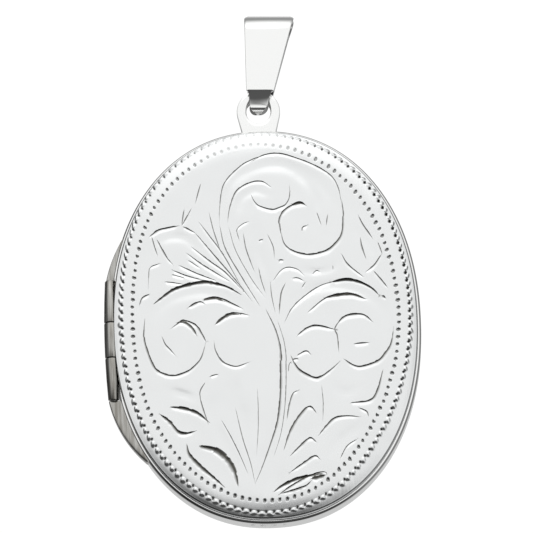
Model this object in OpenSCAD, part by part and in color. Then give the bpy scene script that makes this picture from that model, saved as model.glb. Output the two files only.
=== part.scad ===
// Oval hinged locket that hangs from a tapered bail.
// +Z is up, +X is to the right, and the front cover faces -Y.
// The origin is the middle of the bail's chain opening, where a chain holds the locket.

/* [Case] */
// Width of the front cover
cover_w = 30; // [28:0.5:32]
// Height of the front cover
cover_h = 39; // [37:0.5:41]
// Power of the oval; 2 is an ellipse and more gives squarer shoulders
oval_power = 2.16; // [2.02:0.02:2.3]
// Step from the front cover's edge out to the rear cover's edge
rim_step = 0.3; // [0.25:0.05:0.4]
// Depth of the front cover, from the seam to the border of its face
cover_d = 1.2; // [1.15:0.05:1.4]
// Rise of the front face's middle above its border
crown = 0.35; // [0.1:0.05:0.5]
// Depth of the rear cover, from the seam to its flat back
rear_d = 2.9; // [2.8:0.1:3.2]
// Thickness of the covers' metal
wall = 0.45; // [0.35:0.05:0.5]
// Gap of the seam between the closed covers
seam = 0.06; // [0.04:0.01:0.08]

/* [Hinge] */
// Outer radius of the hinge knuckles
knuckle_r = 0.85; // [0.8:0.05:0.9]
// Radius of the hinge pin
pin_r = 0.3; // [0.25:0.05:0.35]
// Radial play of the pin in the knuckles
pin_play = 0.04; // [0.02:0.01:0.06]
// Length of the whole hinge barrel
hinge_len = 12; // [11:0.5:13]
// Length of the middle knuckle
middle_len = 3.5; // [3:0.5:4]
// Height of the hinge's middle above the case's centre
hinge_z = -1; // [-1.5:0.5:0]

/* [Photo frames] */
// Width of the frames' visible face
frame_w = 1.7; // [1.4:0.1:2]
// Thickness of the frames' visible face
frame_t = 0.25; // [0.2:0.05:0.25]
// Thickness of the clear windows
window_t = 0.15; // [0.1:0.05:0.15]
// Thickness of the photo cards
card_t = 0.2; // [0.15:0.05:0.2]

/* [Loop and bail] */
// Radius of the suspension loop's hole
loop_hole_r = 1.2; // [1.15:0.05:1.3]
// Width of the loop's metal, across the ring
loop_w = 0.94; // [0.8:0.02:0.96]
// Thickness of the loop, front to back
loop_t = 0.95; // [0.8:0.05:1]
// Height of the loop's centre above the case's centre
loop_z = 21.8; // [21.6:0.1:21.8]
// Distance of the loop behind the seam
loop_y = 0.8; // [0.7:0.1:1.3]
// Length of the bail from the loop's centre to its top
bail_len = 9.75; // [9:0.25:11]
// Width of the bail at its top
bail_w = 4.9; // [4.5:0.1:5.5]
// Lean of the bail to the right, in degrees
bail_lean = 2; // [0:1:4]
// Slant of the bail's sides to the right, between its bar and its fold, in degrees
bail_skew = 6.5; // [0:0.5:7]

/* [Hidden] */

silver = "silver";
bright_silver = "gainsboro";
bright_steel = "lightsteelblue";
paper = "ivory";
acetate = "lightcyan";

oval_steps = 80;
edge_round = [0.35, 0.4];
back_round = [0.5, 0.6];
border_w = 2.2;
half_w = cover_w / 2;
half_h = cover_h / 2;
rear_in = -rim_step;
cover_floor = -(cover_d - wall);
rear_floor = rear_d - wall;
rim_gap = 0.07;
rim_t = 0.35;
rim_in = wall + rim_gap;
rim_rise = 0.6;
rim_drop = 1.6;

slot_play = 0.08;
end_play = 0.05;
hinge_x = -half_w - 0.13;
hinge_top = hinge_z + hinge_len / 2;
hinge_foot = hinge_z - hinge_len / 2;
middle_top = hinge_z + middle_len / 2;
middle_foot = hinge_z - middle_len / 2;
bearer_r = [13, 11.5];
bearer_out = -half_w - 0.95;

frame_out = rim_in + rim_t + 0.04;
skirt_t = 0.3;
card_in = frame_out + skirt_t + 0.03;

fold_r = 1.9;
fold_hole_r = 1.4;
fold_z = bail_len - fold_r;
eye_r = 0.78;
eye_z = 1.5;
bar_r = 1.05;
bar_z = 0.93;
leg_foot = [1.6, 2.42];
leg_foot_w = 1.38;
undercut = [1.27, 1.68];
neck_w = 1.02;
bar_w = 0.88;
skew_from = 0.4;
hollow_up = 2.5;
hollow_down = 3;
past_case = 30;
loop_round = 0.35;
loop_foot_w = 3.4;

opening = [tan(bail_skew) * (fold_z - skew_from), fold_z];
loop_at = [-opening.x * cos(bail_lean) - opening.y * sin(bail_lean), 0,
           opening.x * sin(bail_lean) - opening.y * cos(bail_lean)];
case_at = loop_at - [0, loop_y, loop_z];

// A signed power, for the oval's outline
function signed_pow(v, p) = sign(v) * pow(abs(v), p);

// A point of the front cover's outline, t degrees clockwise from the top, as [x, z]
function oval_point(t) = [half_w * signed_pow(sin(t), 2 / oval_power),
                          half_h * signed_pow(cos(t), 2 / oval_power)];

// The outline's outward normal there
function oval_normal(t) =
    let (p = 2 - 2 / oval_power, n = [signed_pow(sin(t), p) / half_w, signed_pow(cos(t), p) / half_h])
    n / norm(n);

// The outline moved inward by inset, as a list of [x, z]
function oval_outline(inset) =
    [for (i = [0:oval_steps - 1]) let (t = 360 * i / oval_steps) oval_point(t) - inset * oval_normal(t)];

// One ring of a loft: the outline moved inward, then shrunk to the centre, at depth y
function ring(inset, y, shrink = 1) = [for (p = oval_outline(inset)) [p.x * shrink, y, p.y * shrink]];

// A surface through rings; closed joins the last to the first, and open caps both ends
module loft(rings, closed = false) {
    n = len(rings[0]);
    m = len(rings);
    sides = [for (k = [0:m - (closed ? 1 : 2)], i = [0:n - 1])
        let (a = k * n, b = ((k + 1) % m) * n, j = (i + 1) % n)
        each [[a + i, b + j, a + j], [a + i, b + i, b + j]]];
    caps = closed ? [] : [[for (i = [0:n - 1]) i], [for (i = [n - 1:-1:0]) (m - 1) * n + i]];
    polyhedron([for (r = rings) each r], concat(sides, caps), convexity = 8);
}

// An oval band whose cross-section is the list of [inset, y]
module oval_band(section) {
    loft([for (s = section) ring(s[0], s[1])], closed = true);
}

// A flat oval plate between two depths
module oval_plate(inset, y0, y1) {
    loft([ring(inset, y0), ring(inset, y1)]);
}

// A round bar along the hinge axis
module hinge_bar(r, z0, z1) {
    translate([hinge_x, 0, z0]) cylinder(r = r, h = z1 - z0, $fn = 120);
}

// One knuckle of the hinge barrel, bored for the pin
module knuckle(z0, z1) {
    difference() {
        hinge_bar(knuckle_r, z0, z1);
        hinge_bar(pin_r + pin_play, z0 - 1, z1 + 1);
    }
}

// Room for the hinge in a cover: close on its own knuckles and with play on the other cover's
module hinge_room(own_is_middle) {
    outer_r = own_is_middle ? knuckle_r + slot_play : knuckle_r;
    middle_r = own_is_middle ? knuckle_r : knuckle_r + slot_play;
    hinge_bar(outer_r, middle_top, hinge_top + end_play);
    hinge_bar(middle_r, middle_foot - end_play, middle_top + end_play);
    hinge_bar(outer_r, hinge_foot - end_play, middle_foot);
}

// Points along an arc of a circle, from one angle to another
function arc(centre, r, from, to, steps) =
    [for (i = [0:steps]) let (t = from + (to - from) * i / steps) centre + r * [cos(t), sin(t)]];

// Half an outline and its mirror image as one polygon, slanted by slope; the half runs down the right side
module mirrored_outline(half, slope = 0) {
    n = len(half);
    whole = concat(half, [for (i = [n - 1:-1:0]) [-half[i].x, half[i].y]]);
    polygon([for (p = whole) p + [slope * (p.y - skew_from), 0]]);
}

// The side view: depth across and z up, around the loop's centre
module bail_side() {
    reach = norm(leg_foot - [0, fold_z]);
    turn = atan2(leg_foot.y - fold_z, leg_foot.x) + acos(fold_r / reach);
    eye_turn = -asin((fold_hole_r - eye_r) / (fold_z - eye_z));
    difference() {
        mirrored_outline(concat(arc([0, fold_z], fold_r, 89, turn, 24), [leg_foot, undercut],
                                arc([0, bar_z], bar_r, 0, -89, 16)));
        mirrored_outline(concat(arc([0, fold_z], fold_hole_r, 89, eye_turn, 24),
                                arc([0, eye_z], eye_r, eye_turn, -89, 16)));
    }
}

// The front view: x across and z up, around the loop's centre
module bail_front() {
    corner = 0.35;
    top_w = bail_w / 2;
    step = [0.12, 0.3];
    neck_top = leg_foot.y - 0.5;
    mirrored_outline(concat(arc([top_w - corner, bail_len - corner], corner, 90, 0, 6),
        [[leg_foot_w, leg_foot.y], leg_foot_w * [1, 0] + [0, leg_foot.y] - step, [neck_w, neck_top],
         [neck_w, bar_z + 0.1]],
        arc([0, bar_z - bar_r + bar_w], bar_w, 0, -89, 16)), tan(bail_skew));
}

module bail() {
    reach = 8;
    color(bright_silver) translate(loop_at) rotate([0, bail_lean, 0]) intersection() {
        rotate([90, 0, 90]) translate([0, 0, -reach / 2]) linear_extrude(reach) bail_side();
        rotate([90, 0, 0]) translate([0, 0, -reach / 2]) linear_extrude(reach) bail_front();
    }
}

module suspension_loop() {
    mid_r = loop_hole_r + loop_w / 2;
    outer_r = loop_hole_r + loop_w;
    box = [loop_w / 2 - loop_round, loop_t / 2 - loop_round];
    foot_z = half_h - loop_z - 0.1;
    color(silver) translate(loop_at) difference() {
        rotate([90, 0, 0]) union() {
            rotate_extrude($fn = 64) translate([mid_r, 0]) union() {
                for (x = [-1, 1], y = [-1, 1])
                    translate([x * box.x, y * box.y]) circle(r = loop_round, $fn = 24);
                square([2 * box.x, loop_t], center = true);
                square([loop_w, 2 * box.y], center = true);
            }
            translate([0, 0, -loop_t / 2]) linear_extrude(loop_t) difference() {
                polygon([[outer_r - 0.05, -0.4], [loop_foot_w / 2, foot_z],
                         [-loop_foot_w / 2, foot_z], [-outer_r + 0.05, -0.4]]);
                circle(r = loop_hole_r + loop_round, $fn = 64);
            }
        }
        translate([0, -loop_y, -loop_z]) oval_plate(rear_in, -5, 5);
    }
}

module front_cover() {
    face = [for (s = [0.2, 0.4, 0.6, 0.8]) ring(border_w, -cover_d - crown * (1 - s * s), s)];
    edge = [for (a = [0:22.5:90]) ring(edge_round.x * (1 - sin(a)), -cover_d + edge_round.y * (1 - cos(a)))];
    inner = [for (s = [0.8, 0.6, 0.4, 0.2]) ring(border_w, cover_floor - crown * (1 - s * s), s)];
    color(bright_silver) translate(case_at) difference() {
        loft(concat(face, [ring(border_w, -cover_d)], edge,
                    [ring(0, -seam), ring(wall, -seam), ring(wall, cover_floor), ring(border_w, cover_floor)],
                    inner));
        hinge_room(own_is_middle = true);
    }
}

module rear_cover() {
    edge = [for (a = [90:-22.5:0])
        ring(rear_in + back_round.x * (1 - sin(a)), rear_d - back_round.y * (1 - cos(a)))];
    color(silver) translate(case_at) difference() {
        loft(concat([ring(rear_in + wall, rear_floor), ring(rear_in + wall, 0), ring(rear_in, 0)], edge));
        hinge_room(own_is_middle = false);
    }
}

module snap_rim() {
    rim_back = rim_in + rim_t;
    foot = rear_in + wall;
    step = 0.25;
    room = 0.3;
    color(silver) translate(case_at) difference() {
        oval_band([[foot, step], [foot, rim_drop], [rim_back, rim_drop], [rim_back, -rim_rise],
                   [rim_in, -rim_rise], [rim_in, step]]);
        translate([-half_w - 1, -3, hinge_foot - room]) cube([2.4, 6, hinge_len + 2 * room]);
    }
}

// The crescents of metal past both ends of the barrel, on the rear cover's edge
module hinge_bearer_rear() {
    front = 0.1;
    depth = 1.5;
    for (upper = [true, false], r = upper ? bearer_r[0] : bearer_r[1])
    color(silver) translate(case_at) difference() {
        translate([bearer_out + r, front + depth, hinge_z + (upper ? hollow_up : -hollow_down)])
            rotate([90, 0, 0]) cylinder(r = r, h = depth, $fn = 240);
        oval_plate(rear_in, -5, 5);
        translate([-half_w - 2, -3, upper ? -past_case : hinge_foot - end_play])
            cube([2 * past_case, 6, past_case + hinge_top + end_play]);
        translate([-half_w + 4, -3, -past_case]) cube([2 * past_case, 6, 2 * past_case]);
    }
}

// A strip inside the front cover's wall that the middle knuckle is soldered to
module hinge_bearer_front() {
    reach = 5.2;
    color(silver) translate(case_at) difference() {
        oval_band([[wall, cover_floor], [wall, -seam], [wall + 0.4, -seam], [wall + 0.4, cover_floor]]);
        hinge_room(own_is_middle = true);
        translate([-half_w + 2, -3, -30]) cube([60, 6, 60]);
        for (s = [1, -1]) translate([-30, -3, hinge_z + s * (reach + 20) - 20]) cube([60, 6, 40]);
    }
}

module hinge_knuckle_upper() {
    color(bright_silver) translate(case_at) knuckle(middle_top + end_play, hinge_top);
}

module hinge_knuckle_lower() {
    color(bright_silver) translate(case_at) knuckle(hinge_foot, middle_foot - end_play);
}

module hinge_knuckle_middle() {
    color(bright_silver) translate(case_at) knuckle(middle_foot, middle_top);
}

module hinge_pin() {
    color(bright_steel) translate(case_at) hinge_bar(pin_r, hinge_foot, hinge_top);
}

module photo_frame_rear() {
    lip = 0.5;
    face = rear_floor - card_t - window_t - frame_t;
    inner = frame_out + skirt_t;
    color(bright_silver) translate(case_at)
        oval_band([[frame_out, face - lip], [frame_out, rear_floor], [inner, rear_floor],
                   [inner, face + frame_t], [frame_out + frame_w, face + frame_t],
                   [frame_out + frame_w, face], [inner, face], [inner, face - lip]]);
}

module photo_frame_front() {
    face = cover_floor + card_t + window_t;
    inner = frame_out + skirt_t;
    color(bright_silver) translate(case_at)
        oval_band([[frame_out, cover_floor], [frame_out, face + frame_t],
                   [frame_out + frame_w, face + frame_t], [frame_out + frame_w, face],
                   [inner, face], [inner, cover_floor]]);
}

module photo_window_rear() {
    color(acetate) translate(case_at)
        oval_plate(card_in, rear_floor - card_t - window_t, rear_floor - card_t);
}

module photo_window_front() {
    color(acetate) translate(case_at)
        oval_plate(card_in, cover_floor + card_t, cover_floor + card_t + window_t);
}

module photo_card_rear() {
    color(paper) translate(case_at) oval_plate(card_in, rear_floor - card_t, rear_floor);
}

module photo_card_front() {
    color(paper) translate(case_at) oval_plate(card_in, cover_floor, cover_floor + card_t);
}

bail();
suspension_loop();
rear_cover();
snap_rim();
hinge_bearer_rear();
hinge_knuckle_upper();
hinge_knuckle_lower();
hinge_pin();
photo_frame_rear();
photo_window_rear();
photo_card_rear();
front_cover();
hinge_bearer_front();
hinge_knuckle_middle();
photo_frame_front();
photo_window_front();
photo_card_front();
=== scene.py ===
"""Oval hinged locket: its finished look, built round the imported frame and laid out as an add-on."""

import math
import random

import bpy
import numpy as np
from mathutils import Matrix, Vector
from mathutils.geometry import delaunay_2d_cdt


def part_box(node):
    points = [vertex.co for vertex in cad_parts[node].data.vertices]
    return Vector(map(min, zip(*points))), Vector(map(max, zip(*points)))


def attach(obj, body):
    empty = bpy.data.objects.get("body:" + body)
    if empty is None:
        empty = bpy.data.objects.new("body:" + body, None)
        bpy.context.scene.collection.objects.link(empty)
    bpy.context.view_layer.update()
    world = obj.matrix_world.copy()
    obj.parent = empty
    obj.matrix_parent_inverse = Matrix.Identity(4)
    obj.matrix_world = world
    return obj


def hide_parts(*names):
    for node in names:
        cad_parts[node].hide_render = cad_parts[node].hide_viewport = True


bl_info = {
    "name": "Oval Hinged Locket",
    "version": (1, 0, 0),
    "blender": (4, 5, 0),
    "location": "3D Viewport > Sidebar > Locket",
    "description": "Builds an engraved oval locket that hangs from a strap bail",
    "category": "Add Mesh",
}

MM = 0.001

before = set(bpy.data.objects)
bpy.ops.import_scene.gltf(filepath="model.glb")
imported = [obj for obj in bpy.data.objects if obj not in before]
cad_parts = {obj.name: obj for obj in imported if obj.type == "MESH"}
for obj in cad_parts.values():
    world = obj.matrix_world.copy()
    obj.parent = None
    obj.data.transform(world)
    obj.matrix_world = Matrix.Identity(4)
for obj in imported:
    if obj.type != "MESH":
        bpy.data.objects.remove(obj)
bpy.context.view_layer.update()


def middle(node):
    """The middle of a CAD node's box, in millimetres."""
    low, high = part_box(node)
    return (low + high) / 2 / MM


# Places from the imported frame, in millimetres: the case's middle on its seam, and the loop's hole
CASE = Vector(
    (middle("photo_card_front").x, middle("hinge_pin").y, middle("photo_card_front").z)
)
LOOP_HOLE_R = 1.2
LOOP_W = 0.94
LOOP = Vector(
    (
        middle("suspension_loop").x,
        middle("suspension_loop").y,
        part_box("suspension_loop")[1].z / MM - LOOP_HOLE_R - LOOP_W,
    )
)
BAIL_LEAN = math.radians(2)
BAIL_SLANT = math.tan(math.radians(6.5))

# The case, in millimetres from its middle: x to the right, y to the back and z up
HALF_W = 15.0
HALF_H = 19.5
OVAL_POWER = 2.16
COVER_D = 1.2
CROWN = 0.35
WALL = 0.45
SEAM = 0.06
RIM_STEP = 0.3
REAR_D = 2.9
REAR_FLOOR = REAR_D - WALL
COVER_FLOOR = WALL - COVER_D
HINGE_X = middle("hinge_pin").x - CASE.x
HINGE_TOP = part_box("hinge_knuckle_upper")[1].z / MM - CASE.z
HINGE_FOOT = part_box("hinge_knuckle_lower")[0].z / MM - CASE.z
MIDDLE_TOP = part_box("hinge_knuckle_middle")[1].z / MM - CASE.z
MIDDLE_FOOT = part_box("hinge_knuckle_middle")[0].z / MM - CASE.z
# The barrel's radius at its middle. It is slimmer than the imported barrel's, which is 0.85 throughout.
KNUCKLE_R = 0.74
BARREL_TAPER = 0.006
HINGE_Z = -1
KNUCKLE_PLAY = 0.08
BORE_R = 0.34
PIN_R = 0.3


def linear(hex_colour):
    """An sRGB hex colour as linear red, green and blue."""
    parts = [int(hex_colour[i : i + 2], 16) / 255 for i in (0, 2, 4)]
    return tuple(
        c / 12.92 if c <= 0.04045 else ((c + 0.055) / 1.055) ** 2.4 for c in parts
    )


class LocketCase(bpy.types.PropertyGroup):
    """Sizes of the case's decoration."""

    bead_count: bpy.props.IntProperty(
        name="Beads", description="Beads in the outer millgrain row", default=136, min=60, max=200
    )
    dot_count: bpy.props.IntProperty(
        name="Punched dots", description="Punched dots in the inner row", default=133, min=60, max=200
    )
    bead_height: bpy.props.FloatProperty(
        name="Bead height", description="Rise of a bead above the border",
        default=0.095 * MM, min=0.0, max=0.2 * MM, unit="LENGTH", precision=5,
    )
    dot_depth: bpy.props.FloatProperty(
        name="Dot depth", description="Depth of a punched dot",
        default=0.13 * MM, min=0.0, max=0.2 * MM, unit="LENGTH", precision=5,
    )
    cut_depth: bpy.props.FloatProperty(
        name="Cut depth", description="How deep the graver's cuts are, as a part of their half width",
        default=0.3, min=0.1, max=1.2, subtype="FACTOR",
    )
    hatch_spacing: bpy.props.FloatProperty(
        name="Hatch spacing", description="Distance between the fine lines of the Florentine ground",
        default=0.26 * MM, min=0.1 * MM, max=1 * MM, unit="LENGTH", precision=5,
    )


class LocketFinish(bpy.types.PropertyGroup):
    """Colours of the materials and of the studio."""

    silver: bpy.props.FloatVectorProperty(
        name="Silver", description="Polished sterling silver", subtype="COLOR",
        default=linear("F6F6F5"), min=0.0, max=1.0,
    )
    satin_silver: bpy.props.FloatVectorProperty(
        name="Satin silver", description="The engraved cover's satin ground", subtype="COLOR",
        default=linear("E9EAEA"), min=0.0, max=1.0,
    )
    hinge_grey: bpy.props.FloatVectorProperty(
        name="Hinge grey", description="Silver of the hinge between its drawn lines", subtype="COLOR",
        default=linear("8F8C86"), min=0.0, max=1.0,
    )
    # Colour of the painted shade, with a little tarnish, in the cuts, punched dots and wedges between beads
    cut_tarnish_and_shade: bpy.props.FloatVectorProperty(
        name="Cut silver", description="Thin tarnish and painted shade in the cuts and dots", subtype="COLOR",
        default=linear("55544F"), min=0.0, max=1.0,
    )
    inner_silver: bpy.props.FloatVectorProperty(
        name="Inner silver", description="Silver inside the case", subtype="COLOR",
        default=linear("EFEDE8"), min=0.0, max=1.0,
    )
    wire: bpy.props.FloatVectorProperty(
        name="Pin wire", description="Drawn stainless wire", subtype="COLOR",
        default=linear("B9B8B4"), min=0.0, max=1.0,
    )
    paper: bpy.props.FloatVectorProperty(
        name="Paper card", description="Blank photo card", subtype="COLOR",
        default=linear("F1EDE2"), min=0.0, max=1.0,
    )
    floor: bpy.props.FloatVectorProperty(
        name="Floor", description="Studio floor", subtype="COLOR",
        default=linear("F4F4F3"), min=0.0, max=1.0,
    )


# ---- Materials -------------------------------------------------------------------------------------


def add(tree, kind, links=(), **settings):
    """Adds a node; a setting is a property or an input's value, and links pairs an input with a socket."""
    node = tree.nodes.new(kind)
    for name, value in settings.items():
        if hasattr(node, name):
            setattr(node, name, value)
        else:
            node.inputs[name.replace("_", " ")].default_value = value
    for socket, source in dict(links).items():
        tree.links.new(source, node.inputs[socket])
    return node


def new_material(name):
    """An empty material with its output node, or the one already made."""
    if name in bpy.data.materials:
        return bpy.data.materials[name], None, None
    material = bpy.data.materials.new(name)
    material.use_nodes = True
    tree = material.node_tree
    tree.nodes.clear()
    return material, tree, add(tree, "ShaderNodeOutputMaterial")


def buffed_ground(tree, roughness, scratch_depth):
    """Roughness and a bump for buffed metal: cloudy polish, with hairlines 0.1 mm apart in two directions."""
    place = add(tree, "ShaderNodeTexCoord").outputs["Object"]
    # Polishing haze about 3 mm across
    haze = add(tree, "ShaderNodeTexNoise", {"Vector": place}, Scale=1 / (3 * MM), Detail=3.0)
    rough = add(
        tree, "ShaderNodeMapRange", {"Value": haze.outputs["Fac"]},
        From_Min=0.3, From_Max=0.7, To_Min=roughness * 0.75, To_Max=roughness * 1.3,
    )
    lines = []
    for turn in (0.5, -0.9):
        # Hairlines: real ones are finer than 0.02 mm, drawn 0.1 mm wide and 4 mm long so that they show
        turned = add(
            tree, "ShaderNodeMapping", {"Vector": place},
            Rotation=(0.0, turn, 0.0), Scale=(1 / (4 * MM), 1 / (0.6 * MM), 1 / (0.1 * MM)),
        )
        lines.append(
            add(tree, "ShaderNodeTexNoise", {"Vector": turned.outputs["Vector"]}, Scale=1.0, Detail=2.0)
        )
    both = add(
        tree, "ShaderNodeMath", {0: lines[0].outputs["Fac"], 1: lines[1].outputs["Fac"]}, operation="ADD"
    )
    bump = add(
        tree, "ShaderNodeBump", {"Height": both.outputs["Value"]}, Strength=1.0, Distance=scratch_depth
    )
    return place, rough.outputs["Result"], bump.outputs["Normal"]


def polished_sterling_silver(finish):
    """Sterling silver, stamped and buffed: mirror-bright, with a faint polishing haze and stray hairlines."""
    material, tree, out = new_material("stamped_polished_sterling_silver")
    if tree:
        _, rough, normal = buffed_ground(tree, 0.1, 0.0006 * MM)
        shader = add(
            tree, "ShaderNodeBsdfPrincipled", {"Roughness": rough, "Normal": normal},
            Base_Color=(*finish.silver, 1.0), Metallic=1.0,
        )
        tree.links.new(shader.outputs["BSDF"], out.inputs["Surface"])
    return material


def grey_streaked_hinge_silver(finish):
    """Silver of the hinge: a dark grey all over, with paler streaks along the barrel."""
    material, tree, out = new_material("grey_streaked_hinge_silver")
    if tree:
        place, rough, normal = buffed_ground(tree, 0.16, 0.0008 * MM)
        # Drawn lines run along the barrel, about 0.25 mm apart and some 4 mm long
        lines = add(tree, "ShaderNodeMapping", {"Vector": place},
                    Scale=(1 / (0.25 * MM), 1 / (0.25 * MM), 1 / (4 * MM)))
        streaks = add(tree, "ShaderNodeTexNoise", {"Vector": lines.outputs["Vector"]}, Scale=1.0, Detail=3.0)
        share = add(tree, "ShaderNodeMapRange", {"Value": streaks.outputs["Fac"]},
                    From_Min=0.4, From_Max=0.64, To_Min=0.0, To_Max=1.0)
        colour = add(tree, "ShaderNodeMix", {"Factor": share.outputs["Result"]}, data_type="RGBA")
        colour.inputs[6].default_value = (*finish.hinge_grey, 1.0)
        colour.inputs[7].default_value = (*finish.wire, 1.0)
        shader = add(tree, "ShaderNodeBsdfPrincipled",
                     {"Base Color": colour.outputs[2], "Roughness": rough, "Normal": normal}, Metallic=1.0)
        tree.links.new(shader.outputs["BSDF"], out.inputs["Surface"])
    return material


def engraved_sterling_silver(finish, case):
    """Die-struck sterling silver cut with a graver: a soft satin ground with fine Florentine lines in
    patches, bright facets in the cuts, and painted shade with a little tarnish in the cuts and dots."""
    material, tree, out = new_material("die_struck_engraved_sterling_silver")
    if tree:
        place, rough, normal = buffed_ground(tree, 0.19, 0.0012 * MM)
        # Florentine hatch: short fine lines about 60 degrees from level, in patches about 5 mm across
        hatch = add(
            tree, "ShaderNodeMapping", {"Vector": place}, Rotation=(0.0, math.radians(-32), 0.0),
            Scale=(1 / case.hatch_spacing, 1 / (1 * MM), 1 / (2.5 * MM)),
        )
        waves = add(tree, "ShaderNodeTexNoise", {"Vector": hatch.outputs["Vector"]}, Scale=1.0, Detail=2.0)
        patches = add(tree, "ShaderNodeTexNoise", {"Vector": place}, Scale=1 / (5 * MM), Detail=1.0)
        where = add(
            tree, "ShaderNodeMapRange", {"Value": patches.outputs["Fac"]},
            From_Min=0.48, From_Max=0.62, To_Min=0.0, To_Max=1.0,
        )
        ground = add(
            tree, "ShaderNodeMath", {0: waves.outputs["Fac"], 1: where.outputs["Result"]},
            operation="MULTIPLY",
        )
        satin = add(
            tree, "ShaderNodeBump", {"Height": ground.outputs["Value"], "Normal": normal},
            Strength=1.0, Distance=0.012 * MM,
        )
        # Where the cut colour is mixed in: painted shade, with a little tarnish, in the cuts, dots and wedges
        cut = add(tree, "ShaderNodeAttribute", attribute_name="cut_shade")
        colour = add(
            tree, "ShaderNodeMix", {"Factor": cut.outputs["Fac"]}, data_type="RGBA"
        )
        colour.inputs[6].default_value = (*finish.satin_silver, 1.0)
        colour.inputs[7].default_value = (*finish.cut_tarnish_and_shade, 1.0)
        shader = add(
            tree, "ShaderNodeBsdfPrincipled",
            {"Base Color": colour.outputs[2], "Roughness": rough, "Normal": satin.outputs["Normal"]},
            Metallic=1.0,
        )
        tree.links.new(shader.outputs["BSDF"], out.inputs["Surface"])
    return material


def bright_inner_silver(finish):
    """Sterling silver as it comes from the press, only brightened: a little duller, with drawn lines."""
    material, tree, out = new_material("pressed_brightened_sterling_silver")
    if tree:
        _, rough, normal = buffed_ground(tree, 0.22, 0.0016 * MM)
        shader = add(
            tree, "ShaderNodeBsdfPrincipled", {"Roughness": rough, "Normal": normal},
            Base_Color=(*finish.inner_silver, 1.0), Metallic=1.0,
        )
        tree.links.new(shader.outputs["BSDF"], out.inputs["Surface"])
    return material


def drawn_steel_wire(finish):
    """Stainless steel wire, drawn through a die: grey, with lines along its length."""
    material, tree, out = new_material("drawn_stainless_steel_wire")
    if tree:
        place = add(tree, "ShaderNodeTexCoord").outputs["Object"]
        # Drawing lines 0.03 mm apart and centimetres long
        along = add(
            tree, "ShaderNodeMapping", {"Vector": place},
            Scale=(1 / (0.03 * MM), 1 / (0.03 * MM), 1 / (8 * MM)),
        )
        lines = add(tree, "ShaderNodeTexNoise", {"Vector": along.outputs["Vector"]}, Scale=1.0, Detail=2.0)
        rough = add(
            tree, "ShaderNodeMapRange", {"Value": lines.outputs["Fac"]}, To_Min=0.2, To_Max=0.45
        )
        bump = add(tree, "ShaderNodeBump", {"Height": lines.outputs["Fac"]}, Distance=0.001 * MM)
        shader = add(
            tree, "ShaderNodeBsdfPrincipled",
            {"Roughness": rough.outputs["Result"], "Normal": bump.outputs["Normal"]},
            Base_Color=(*finish.wire, 1.0), Metallic=1.0,
        )
        tree.links.new(shader.outputs["BSDF"], out.inputs["Surface"])
    return material


def clear_acetate(finish):
    """Clear cellulose acetate film, die-cut: see-through with a soft gloss and faint rub marks."""
    material, tree, out = new_material("clear_cellulose_acetate_film")
    if tree:
        place = add(tree, "ShaderNodeTexCoord").outputs["Object"]
        rubs = add(tree, "ShaderNodeTexNoise", {"Vector": place}, Scale=1 / (2 * MM), Detail=4.0)
        rough = add(tree, "ShaderNodeMapRange", {"Value": rubs.outputs["Fac"]}, To_Min=0.03, To_Max=0.14)
        shader = add(
            tree, "ShaderNodeBsdfPrincipled", {"Roughness": rough.outputs["Result"]},
            Base_Color=(*linear("FBFDFC"), 1.0), IOR=1.48, Transmission_Weight=1.0,
        )
        tree.links.new(shader.outputs["BSDF"], out.inputs["Surface"])
    return material


def matt_paper_card(finish):
    """Uncoated paper card, calendered: matt off-white with cloudy fibres."""
    material, tree, out = new_material("uncoated_paper_card")
    if tree:
        place = add(tree, "ShaderNodeTexCoord").outputs["Object"]
        # Fibre clouds about 0.4 mm across
        fibres = add(tree, "ShaderNodeTexNoise", {"Vector": place}, Scale=1 / (0.4 * MM), Detail=6.0)
        tone = add(tree, "ShaderNodeMix", {"Factor": fibres.outputs["Fac"]}, data_type="RGBA")
        tone.inputs[6].default_value = (*finish.paper, 1.0)
        tone.inputs[7].default_value = (*[c * 0.86 for c in finish.paper], 1.0)
        bump = add(tree, "ShaderNodeBump", {"Height": fibres.outputs["Fac"]}, Distance=0.01 * MM)
        shader = add(
            tree, "ShaderNodeBsdfPrincipled",
            {"Base Color": tone.outputs[2], "Normal": bump.outputs["Normal"]}, Roughness=0.85, IOR=1.5,
        )
        tree.links.new(shader.outputs["BSDF"], out.inputs["Surface"])
    return material


# ---- Shapes, in millimetres ------------------------------------------------------------------------


def signed_pow(v, p):
    return np.sign(v) * np.abs(v) ** p


def oval(t, inset=0.0):
    """Points of the case's outline, t radians clockwise from the top, moved inward by inset."""
    t = np.asarray(t, float)
    p = np.stack(
        [HALF_W * signed_pow(np.sin(t), 2 / OVAL_POWER), HALF_H * signed_pow(np.cos(t), 2 / OVAL_POWER)], -1
    )
    q = 2 - 2 / OVAL_POWER
    n = np.stack([signed_pow(np.sin(t), q) / HALF_W, signed_pow(np.cos(t), q) / HALF_H], -1)
    n /= np.linalg.norm(n, axis=-1, keepdims=True)
    return p - np.asarray(inset, float)[..., None] * n


def around(steps, start=0.0, end=360.0, closed=True):
    """Angles round the oval, evenly spread."""
    return np.radians(np.linspace(start, end, steps, endpoint=not closed))


def clear_of_hinge(points, own_is_middle=None):
    """Moves points that lie in the hinge's seat out to its surface, towards the case's middle."""
    if own_is_middle is None:
        return points
    x, y, z = points.T
    middle_part = (z > MIDDLE_FOOT - 0.04) & (z < MIDDLE_TOP + 0.04)
    r = np.where(middle_part != own_is_middle, KNUCKLE_R + KNUCKLE_PLAY, KNUCKLE_R - 0.04)
    inside = (z > HINGE_FOOT - 0.05) & (z < HINGE_TOP + 0.05) & (np.hypot(x - HINGE_X, y) < r)
    seat = HINGE_X + np.sqrt(np.maximum(r * r - y * y, 0))
    points = points.copy()
    points[:, 0] = np.where(inside, seat, x)
    return points


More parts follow.
